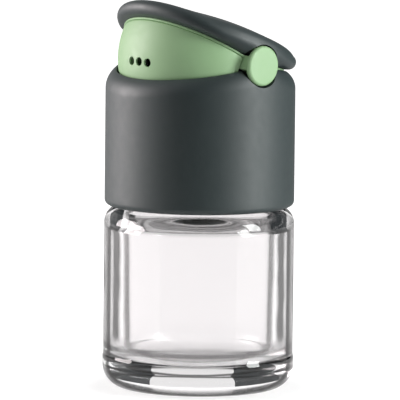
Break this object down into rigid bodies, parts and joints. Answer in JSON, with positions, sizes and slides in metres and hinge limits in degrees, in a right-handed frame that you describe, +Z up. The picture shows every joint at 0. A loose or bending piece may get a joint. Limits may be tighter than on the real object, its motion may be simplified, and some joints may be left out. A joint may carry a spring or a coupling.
{
  "type": "spice shaker",
  "caption": "Thick glass spice jar with a dark screw cap and a rocking lid whose rounded drum brings its pouring holes above the rim.",
  "frame": {"origin": "centre of the ring that the jar stands on", "axes": "+Z up along the jar's axis, -Y towards the side that pours, X along the hinge of the lid"},
  "size_m": [0.0524, 0.0525, 0.1076],
  "materials": {
    "clear_glass": "clear, smooth",
    "soft_seal": "soft, translucent white",
    "dark_plastic": "soft satin",
    "green_plastic": "smooth satin"
  },
  "bodies": {
    "jar": {"glass_jar": "clear_glass"},
    "gasket": {"jar_gasket": "soft_seal"},
    "cap": {"cap_collar": "dark_plastic", "cap_shell": "dark_plastic", "drum_seal": "soft_seal"},
    "rocker": {"pour_drum": "green_plastic", "hinge_ring": "green_plastic", "rocker_cover": "dark_plastic"}
  },
  "joints": [
    {"name": "cap_lift", "type": "slide", "parent": "jar", "child": "gasket", "axis": [0, 0, 1], "range_m": [0, 0.006]},
    {"name": "cap_unscrew", "type": "hinge", "parent": "gasket", "child": "cap", "pos_m": [0, 0, 0.0677], "axis": [0, 0, 1], "range_deg": [0, 540]},
    {"name": "rocker_tilt", "type": "hinge", "parent": "cap", "child": "rocker", "pos_m": [0, 0, 0.0905], "axis": [1, 0, 0], "range_deg": [0, 21]}
  ],
  "couplings": [
    {"joint": "cap_lift", "follows": "cap_unscrew", "m_per_rad": 0.00063662}
  ]
}
